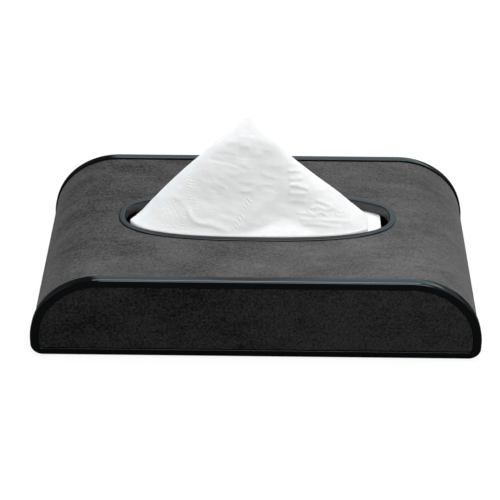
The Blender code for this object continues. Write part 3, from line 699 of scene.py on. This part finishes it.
# How far the outline lies inside the straight cone, in millimetres, at shares of the height, and
# the lines through two points (x, z), in millimetres, along which both side bands are folded back.
outline_up = [0, 0.04, 0.08, 0.11, 0.17, 0.23, 0.30, 0.38, 0.49, 0.60, 0.80, 1.0]
left_trim = [1.4, 2.2, 2.5, 2.45, 2.0, 1.6, 1.3, 1.0, 0.5, 0.4, 0.3, 0]
right_trim = [4.6, 3.4, 2.0, 1.0, 0.6, 0.35, -0.15, 0, 1.0, 1.7, 0.9, 0]
side_folds = (((-48.2, 64.2), (-30.8, 83.4)), ((51.4, 57.5), (22.8, 82.6)))
band_lean, band_blend = (0.20, 0.17), 0.0009
skirt_base, skirt_crest, skirt_middle, skirt_reach = 0.0006, 0.0062, 0.0140, 0.0130
skirt_lean, skirt_blend = 0.55, 0.0015


def softly_past(value, blend):
    """The value where it is above 0, and 0 below, joined by a hyperbola of that blend."""
    return (value + np.sqrt(value**2 + blend**2)) / 2


def drawn_sheet():
    """The sheet's middle surface. Its section is an arc of the slot's edge moved in by the room.
    Below the ring the section curves in under the sheet, and above it every point goes in a line to
    the tip. The right end of the section is cut short near the ring. Below the skirt's line the
    sheet leans back further, and so do the bands along both sides, past their folds, and the free
    tip. Its edges are trimmed to their outline. Returns x, y, z and the share of the height."""
    side = np.linspace(-1, 1, sheet_columns)[None, :]
    foot = np.linspace(0, 1, foot_rows, endpoint=False)
    foot = np.concatenate([foot, np.ones(cone_rows)])[:, None]
    up = np.concatenate([np.zeros(foot_rows), np.linspace(0, 1, cone_rows)])[:, None]
    down = 1 - up
    turn = (-sheet_left + (sheet_left + sheet_right) * (side + 1) / 2) * math.pi / 2
    cut = np.clip(side, 0, 1) ** 2 * np.clip(1 - up * cut_fall, 0, 1) ** cut_power
    turn = turn * (1 - corner_cut * cut)
    forward, across = superellipse(turn, slot_width / 2 - sheet_room, slot_length / 2 - sheet_room)
    trim = np.where(
        side < 0, -np.interp(up, outline_up, left_trim), np.interp(up, outline_up, right_trim))
    x = across * down + (tip_x + side * tip_width / 2) * up
    x = x + sheet_sway * np.sin(math.pi * up) - trim * side**2 / 1000
    low = stack_high + foot_gap + swelling(slot_back - forward)
    z = low + (ring_top - low) * foot + sheet_rise * up + 0 * x
    skirt = skirt_base + skirt_crest * np.exp(-((x - skirt_middle) / skirt_reach) ** 2)
    back = softly_past(skirt, skirt_blend) * down
    back = back - softly_past(skirt - sheet_rise * up, skirt_blend)
    tuck = foot_tuck * (1 - foot) ** 2 * (1 - side**2)
    y = (slot_back - forward) * down + skirt_lean * back + tuck
    for ((x0, z0), (x1, z1)), lean in zip(side_folds, band_lean):
        slope = (x1 - x0) / (z1 - z0)
        past = np.sign(x0) * (x - x0 / 1000 - slope * (z - z0 / 1000)) / math.hypot(1, slope)
        y = y + lean * softly_past(past, band_blend) * down
    bent = tip_lean * softly_past(z - tip_bend, tip_blend)
    return x, y + bent, z - bent * tip_drop, up + 0 * x


def creased(x, z):
    """The sum of all creases: each is a bell across its line and fades out at both ends."""
    total = np.zeros_like(x)
    for width, height, *line in creases:
        points = np.reshape(line, (-1, 2)) / 1000
        nearest = np.full(x.shape, 1.0)
        for (x0, z0), (dx, dz) in zip(points, np.diff(points, axis=0)):
            share = np.clip(((x - x0) * dx + (z - z0) * dz) / (dx**2 + dz**2), 0, 1)
            nearest = np.minimum(nearest, np.hypot(x - x0 - share * dx, z - z0 - share * dz))
        (x0, z0), (dx, dz) = points[0], points[-1] - points[0]
        length = math.hypot(dx, dz)
        along = ((x - x0) * dx + (z - z0) * dz) / length
        ends = np.clip(np.minimum(along, length - along) * 1000 / (crease_end * width), 0, 1)
        total += height / 1000 * np.exp(-(nearest * 1000 / width) ** 2) * ends**2 * (3 - 2 * ends)
    return total


def fade(tree, value, start, stop):
    """A smooth step of a value from 0 at start to 1 at stop."""
    if start > stop:
        return calculate(tree, "SUBTRACT", 1.0, fade(tree, value, stop, start))
    node = tree.nodes.new("ShaderNodeMapRange")
    node.interpolation_type = "SMOOTHSTEP"
    node.inputs["From Min"].default_value = start
    node.inputs["From Max"].default_value = stop
    tree.links.new(value, node.inputs["Value"])
    return node.outputs["Result"]


dash_side, dash_core, dash_press = 0.62, 0.3, (-0.2, 0.9)


def dash_row(tree, u, v, start, stop, pitch, length, columns, tilt, weight):
    """Embossed dashes along a line from start to stop, in millimetres on the sheet's own map: a
    sharpened cosine along the line, in one column or in two side by side, slanted by the tilt."""
    (x0, z0), (x1, z1) = start, stop
    reach = math.hypot(x1 - x0, z1 - z0)
    dx, dz = (x1 - x0) / reach, (z1 - z0) / reach
    along = calculate(tree, "MULTIPLY_ADD", u, dx, -(x0 * dx + z0 * dz))
    along = calculate(tree, "MULTIPLY_ADD", v, dz, along)
    over = calculate(tree, "MULTIPLY_ADD", u, -dz, x0 * dz - z0 * dx)
    over = calculate(tree, "MULTIPLY_ADD", v, dx, over)
    slanted = calculate(tree, "MULTIPLY_ADD", over, tilt, along)
    wave = calculate(tree, "COSINE", calculate(tree, "MULTIPLY", slanted, 2 * math.pi / pitch))
    aside = calculate(tree, "ABSOLUTE", over)
    if columns == 2:
        aside = calculate(tree, "ABSOLUTE", calculate(tree, "SUBTRACT", aside, dash_side * length))
    mask = calculate(
        tree, "MULTIPLY", fade(tree, wave, *dash_press),
        fade(tree, aside, dash_side * length, dash_core * length))
    mask = calculate(tree, "MULTIPLY", mask, fade(tree, along, 0, pitch))
    mask = calculate(tree, "MULTIPLY", mask, fade(tree, along, reach, reach - pitch))
    return calculate(tree, "MULTIPLY", mask, weight)


dot_squeeze, dot_press, dot_weight, field_edge = 1.25, (-0.1, 0.8), 0.65, (1.2, 0.5)


def dimple_field(tree, u, v, centre, half_along, half_over, angle, pitch):
    """Embossed dots in staggered rows: the product of two cosines, inside an ellipse turned by an
    angle in degrees."""
    turn = math.radians(angle)
    ways = []
    for dx, dz in ((math.cos(turn), math.sin(turn)), (-math.sin(turn), math.cos(turn))):
        way = calculate(tree, "MULTIPLY_ADD", u, dx, -(centre[0] * dx + centre[1] * dz))
        ways.append(calculate(tree, "MULTIPLY_ADD", v, dz, way))
    wide = calculate(tree, "POWER", calculate(tree, "MULTIPLY", ways[0], 1 / half_along), 2)
    high = calculate(tree, "POWER", calculate(tree, "MULTIPLY", ways[1], 1 / half_over), 2)
    inside = fade(tree, calculate(tree, "ADD", wide, high), *field_edge)
    dots = calculate(tree, "COSINE", calculate(tree, "MULTIPLY", ways[0], math.pi / pitch))
    dots = calculate(tree, "MULTIPLY", dots, calculate(
        tree, "COSINE", calculate(tree, "MULTIPLY", ways[1], dot_squeeze * math.pi / pitch)))
    return calculate(
        tree, "MULTIPLY", fade(tree, dots, *dot_press),
        calculate(tree, "MULTIPLY", inside, dot_weight))


map_low, map_width = (-0.080, 0.035), 0.160
stray_reach, stray_share = 1.2, 0.6
sheet_paper, tree, shader, fibres = tissue_material(
    "embossed_tissue", white=(0.945, 0.945, 0.945), shade=(0.915, 0.915, 0.915))
flat_map = tree.nodes.new("ShaderNodeUVMap")
flat_map.uv_map = "sheet_map"
split = tree.nodes.new("ShaderNodeSeparateXYZ")
tree.links.new(flat_map.outputs["UV"], split.inputs[0])
u = calculate(tree, "MULTIPLY_ADD", split.outputs["X"], 1000 * map_width, 1000 * map_low[0])
v = calculate(tree, "MULTIPLY_ADD", split.outputs["Y"], 1000 * map_width, 1000 * map_low[1])
astray = calculate(
    tree, "MULTIPLY_ADD", add_noise(tree, 190, 1), 2 * stray_reach, -stray_reach)
u = calculate(tree, "ADD", u, astray)
v = calculate(tree, "SUBTRACT", v, calculate(tree, "MULTIPLY", astray, stray_share))
emboss = 0.0

# Dashes: start, stop, pitch, length, columns, tilt and weight. Dots: centre, half length, half
# width, angle and pitch.
for row in (
    ((-34.8, 79.0), (-34.8, 60.5), 1.5, 2.3, 2, 0.0, 0.8),
    ((-37.4, 60.5), (-39.2, 49.6), 1.5, 2.1, 2, 0.1, 0.9),
    ((-2.9, 69.6), (-12.9, 50.8), 2.2, 2.4, 1, -0.35, 1.5),
    ((52.5, 55.5), (53.9, 50.0), 1.5, 1.7, 2, 0.0, 0.8),
):
    emboss = calculate(tree, "ADD", dash_row(tree, u, v, *row), emboss)
for field in (
    ((-46.3, 61.3), 8.2, 6.0, -14, 2.0), ((-47.8, 52.2), 7.4, 3.2, 4, 1.9),
    ((44.5, 60.0), 2.8, 1.9, -20, 1.9),
):
    emboss = calculate(tree, "ADD", dimple_field(tree, u, v, *field), emboss)
uneven = fade(tree, add_noise(tree, 130, 2), 0.3, 0.6)
emboss = calculate(tree, "MULTIPLY", emboss, uneven)
pressed = add_bump(tree, shader, emboss, depth=0.00012, under=fibres)
rumples = add_noise(tree, 330, 3, stretch=(0.45, 1, 1), roughness=0.55)
add_bump(tree, shader, rumples, depth=0.0004, strength=0.4, under=pressed)

# Where one layer of the sheet stands alone, at its tip and along both sides, the light that would
# come through it is painted into its base colour. This painted light makes the tip whiter and the
# left band bluer, and painted shade makes the right band a little darker. The change lies between
# these heights for the tip and these distances past the folds for the sides, in millimetres.
tip_alone, tip_painted_light = (91.0, 104.0), (0.95, 0.975, 0.985, 1)
side_alone, side_painted_light = (-0.4, 1.6), ((0.86, 0.915, 0.945, 1), (0.865, 0.872, 0.875, 1))
alone = [(fade(tree, v, *tip_alone), tip_painted_light)]
for ((x0, z0), (x1, z1)), colour in zip(side_folds, side_painted_light):
    reach, way = math.hypot(x1 - x0, z1 - z0), 1 if x0 > 0 else -1
    past = calculate(
        tree, "MULTIPLY_ADD", u, way * (z1 - z0) / reach, way * (z0 * x1 - x0 * z1) / reach)
    past = calculate(tree, "MULTIPLY_ADD", v, way * (x0 - x1) / reach, past)
    alone.insert(0, (fade(tree, past, *side_alone), colour))
for share, colour in alone:
    blend = tree.nodes.new("ShaderNodeMix")
    blend.data_type = "RGBA"
    tree.links.new(share, blend.inputs["Factor"])
    tree.links.new(shader.inputs["Base Color"].links[0].from_socket, blend.inputs[6])
    blend.inputs[7].default_value = colour
    tree.links.new(blend.outputs[2], shader.inputs["Base Color"])

x, y, z, up = drawn_sheet()
down_sheet, over_sheet = z * turn_cosine - x * turn_sine, x * turn_cosine + z * turn_sine
soft = broad_depth * cloudy(down_sheet / broad_down, over_sheet / broad_over, 3)
soft = soft + narrow_depth * cloudy(z / narrow_down + x / narrow_lean, x / narrow_over, 4)
below_tip, above_ring = np.clip((1 - up) * tip_calm, 0, 1), np.clip(up * ring_calm, 0, 1)
y = y - (creased(x, z) + soft) * below_tip * above_ring
sheet = lattice("pulled_tissue_sheet", np.stack([x, y, z], axis=-1), sheet_paper)
spots = np.empty(len(sheet.data.vertices) * 3)
sheet.data.vertices.foreach_get("co", spots)
corners = np.empty(len(sheet.data.loops), dtype=np.int32)
sheet.data.loops.foreach_get("vertex_index", corners)
flat = (spots.reshape(-1, 3)[:, [0, 2]] - map_low) / map_width
sheet.data.uv_layers.new(name="sheet_map").data.foreach_set("uv", flat[corners].ravel())
wall = sheet.modifiers.new("thickness", "SOLIDIFY")
wall.thickness = sheet_ply
wall.offset = 0
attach(sheet, "tissue")
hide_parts("pulled_tissue")


# --------------------------------------------------------------------------------------------------
# Studio: a plain pale floor, a soft box overhead, one high in front and one on each side, with the
# camera above the front at the photograph's angle.

def stage_light(name, place, target, size, power, tint=(1, 1, 1)):
    """A rectangular soft box at a place, turned to a target."""
    lamp = bpy.data.lights.new(name, "AREA")
    lamp.shape = "RECTANGLE"
    lamp.size, lamp.size_y = size
    lamp.energy = power
    lamp.color = tint
    holder = bpy.data.objects.new(name, lamp)
    direction = np.array(target, float) - np.array(place, float)
    yaw = math.atan2(direction[0], -direction[1])
    pitch = math.atan2(math.hypot(direction[0], direction[1]), -direction[2])
    holder.location = place
    holder.rotation_euler = (pitch, 0, math.pi + yaw)
    bpy.context.scene.collection.objects.link(holder)


stage_light("overhead_box", (0.0, 0.12, 1.15), (0, 0, 0.03), (0.8, 0.65), 10.6)
stage_light("front_box", (0.20, -0.95, 0.85), (0, 0, 0.05), (0.9, 0.45), 7.55)
stage_light("left_box", (-1.10, -0.25, 0.60), (0, 0, 0.06), (0.5, 0.8), 0.9, (0.80, 0.94, 1.0))
stage_light("right_box", (1.10, -0.10, 0.70), (0, 0, 0.06), (0.5, 0.8), 1.45, (0.92, 0.97, 1.0))

# The world is white to the camera and an even grey in the light that it gives. Glossy rays meet a
# pale wall behind the object, which ends a little to its left and is brightest high up there, and
# dim sides. The pairs are azimuths in radians, and heights of the ray's direction.
wall_left, wall_right, wall_foot, wall_light = (-0.30, -0.14), (0.95, 0.8), (0.28, 0.36), 1.7
high_foot, high_light, high_left, left_light = (0.55, 0.75), 0.3, (0.06, -0.1), 1.3
dim_light, dim_right, right_light = 0.12, (-0.2, 0.5), 0.15
ramp_spread, ramp_ahead = 1.25, 0.25
grey_light = 0.30

world = bpy.data.worlds.new("studio")
world.use_nodes = True
bpy.context.scene.world = world
tree = world.node_tree
seen_white = tree.nodes["Background"]
seen_white.inputs["Color"].default_value = (1, 1, 1, 1)
seen_white.inputs["Strength"].default_value = 1.0
rays = tree.nodes.new("ShaderNodeLightPath")
ambient = tree.nodes.new("ShaderNodeBackground")
ambient.inputs["Color"].default_value = (1, 1, 1, 1)
ambient.inputs["Strength"].default_value = grey_light
mirrored = tree.nodes.new("ShaderNodeBackground")
direction = tree.nodes.new("ShaderNodeTexCoord")
split = tree.nodes.new("ShaderNodeSeparateXYZ")
tree.links.new(direction.outputs["Generated"], split.inputs[0])
azimuth = calculate(tree, "ARCTAN2", split.outputs["X"], split.outputs["Y"])
from_left = calculate(tree, "MULTIPLY_ADD", azimuth, ramp_spread, ramp_ahead)
wall_colour = add_ramp(tree, from_left, [
    (0.12, (0.50, 0.58, 0.60)), (0.25, (0.64, 0.65, 0.69)), (0.38, (0.56, 0.71, 0.75)),
    (0.68, (0.52, 0.69, 0.69)), (0.86, (0.86, 0.95, 0.93))])
tree.links.new(wall_colour, mirrored.inputs["Color"])
back_wall = calculate(
    tree, "MULTIPLY", fade(tree, azimuth, *wall_left), fade(tree, azimuth, *wall_right))
back_wall = calculate(tree, "MULTIPLY", back_wall, fade(tree, split.outputs["Z"], *wall_foot))
high = calculate(tree, "MULTIPLY_ADD", fade(tree, azimuth, *high_left), left_light, high_light)
high = calculate(tree, "MULTIPLY", high, fade(tree, split.outputs["Z"], *high_foot))
back_wall = calculate(tree, "MULTIPLY", back_wall, calculate(tree, "ADD", high, wall_light))
dim_side = calculate(
    tree, "MULTIPLY_ADD", fade(tree, azimuth, *dim_right), right_light, dim_light)
tree.links.new(calculate(tree, "ADD", back_wall, dim_side), mirrored.inputs["Strength"])
reflected, seen = tree.nodes.new("ShaderNodeMixShader"), tree.nodes.new("ShaderNodeMixShader")
either = calculate(
    tree, "MAXIMUM", rays.outputs["Is Glossy Ray"], rays.outputs["Is Transmission Ray"])
tree.links.new(either, reflected.inputs[0])
tree.links.new(ambient.outputs[0], reflected.inputs[1])
tree.links.new(mirrored.outputs[0], reflected.inputs[2])
tree.links.new(rays.outputs["Is Camera Ray"], seen.inputs[0])
tree.links.new(reflected.outputs[0], seen.inputs[1])
tree.links.new(seen_white.outputs[0], seen.inputs[2])
tree.links.new(seen.outputs[0], tree.nodes["World Output"].inputs["Surface"])

floor_reach = 6.0
floor_mesh = bpy.data.meshes.new("floor")
floor_mesh.from_pydata(
    [(-floor_reach, -floor_reach, 0), (floor_reach, -floor_reach, 0),
     (floor_reach, floor_reach, 0), (-floor_reach, floor_reach, 0)],
    [], [(0, 1, 2, 3)])
floor = bpy.data.objects.new("floor", floor_mesh)
bpy.context.scene.collection.objects.link(floor)
floor_material = bpy.data.materials.new("pale_floor")
floor_material.use_nodes = True
tree = floor_material.node_tree
tree.nodes.clear()
output = tree.nodes.new("ShaderNodeOutputMaterial")
rays = tree.nodes.new("ShaderNodeLightPath")
lit, bounced = tree.nodes.new("ShaderNodeBsdfDiffuse"), tree.nodes.new("ShaderNodeBsdfDiffuse")
glow, shown = tree.nodes.new("ShaderNodeEmission"), tree.nodes.new("ShaderNodeAddShader")
lit.inputs["Color"].default_value = (0.16, 0.16, 0.16, 1)
glow.inputs["Strength"].default_value = 0.86
bounced.inputs["Color"].default_value = (0.055, 0.055, 0.055, 1)
choose = tree.nodes.new("ShaderNodeMixShader")
tree.links.new(lit.outputs[0], shown.inputs[0])
tree.links.new(glow.outputs[0], shown.inputs[1])
tree.links.new(rays.outputs["Is Camera Ray"], choose.inputs[0])
tree.links.new(bounced.outputs[0], choose.inputs[1])
tree.links.new(shown.outputs[0], choose.inputs[2])
tree.links.new(choose.outputs[0], output.inputs["Surface"])
floor.data.materials.append(floor_material)

camera_target, camera_distance = np.array([-0.00385, 0.0, 0.02604]), 0.9335
camera_pitch, camera_yaw, camera_roll = (
    math.radians(angle) for angle in (33.687, -0.682, 0.224))
ahead = np.array([
    math.sin(camera_yaw) * math.cos(camera_pitch),
    math.cos(camera_yaw) * math.cos(camera_pitch), -math.sin(camera_pitch)])
right = np.array([math.cos(camera_yaw), -math.sin(camera_yaw), 0.0])
upward = np.cross(right, ahead)
rolled_right = math.cos(camera_roll) * right + math.sin(camera_roll) * upward
rolled_up = math.cos(camera_roll) * upward - math.sin(camera_roll) * right
lens = bpy.data.cameras.new("camera")
lens.sensor_width = 36
lens.lens = 120.57
camera = bpy.data.objects.new("camera", lens)
bpy.context.scene.collection.objects.link(camera)
turned = Matrix([[*row] for row in np.stack([rolled_right, rolled_up, -ahead], axis=1)]).to_4x4()
turned.translation = camera_target - camera_distance * ahead
camera.matrix_world = turned
bpy.context.scene.camera = camera
bpy.context.scene.view_settings.view_transform = "Standard"
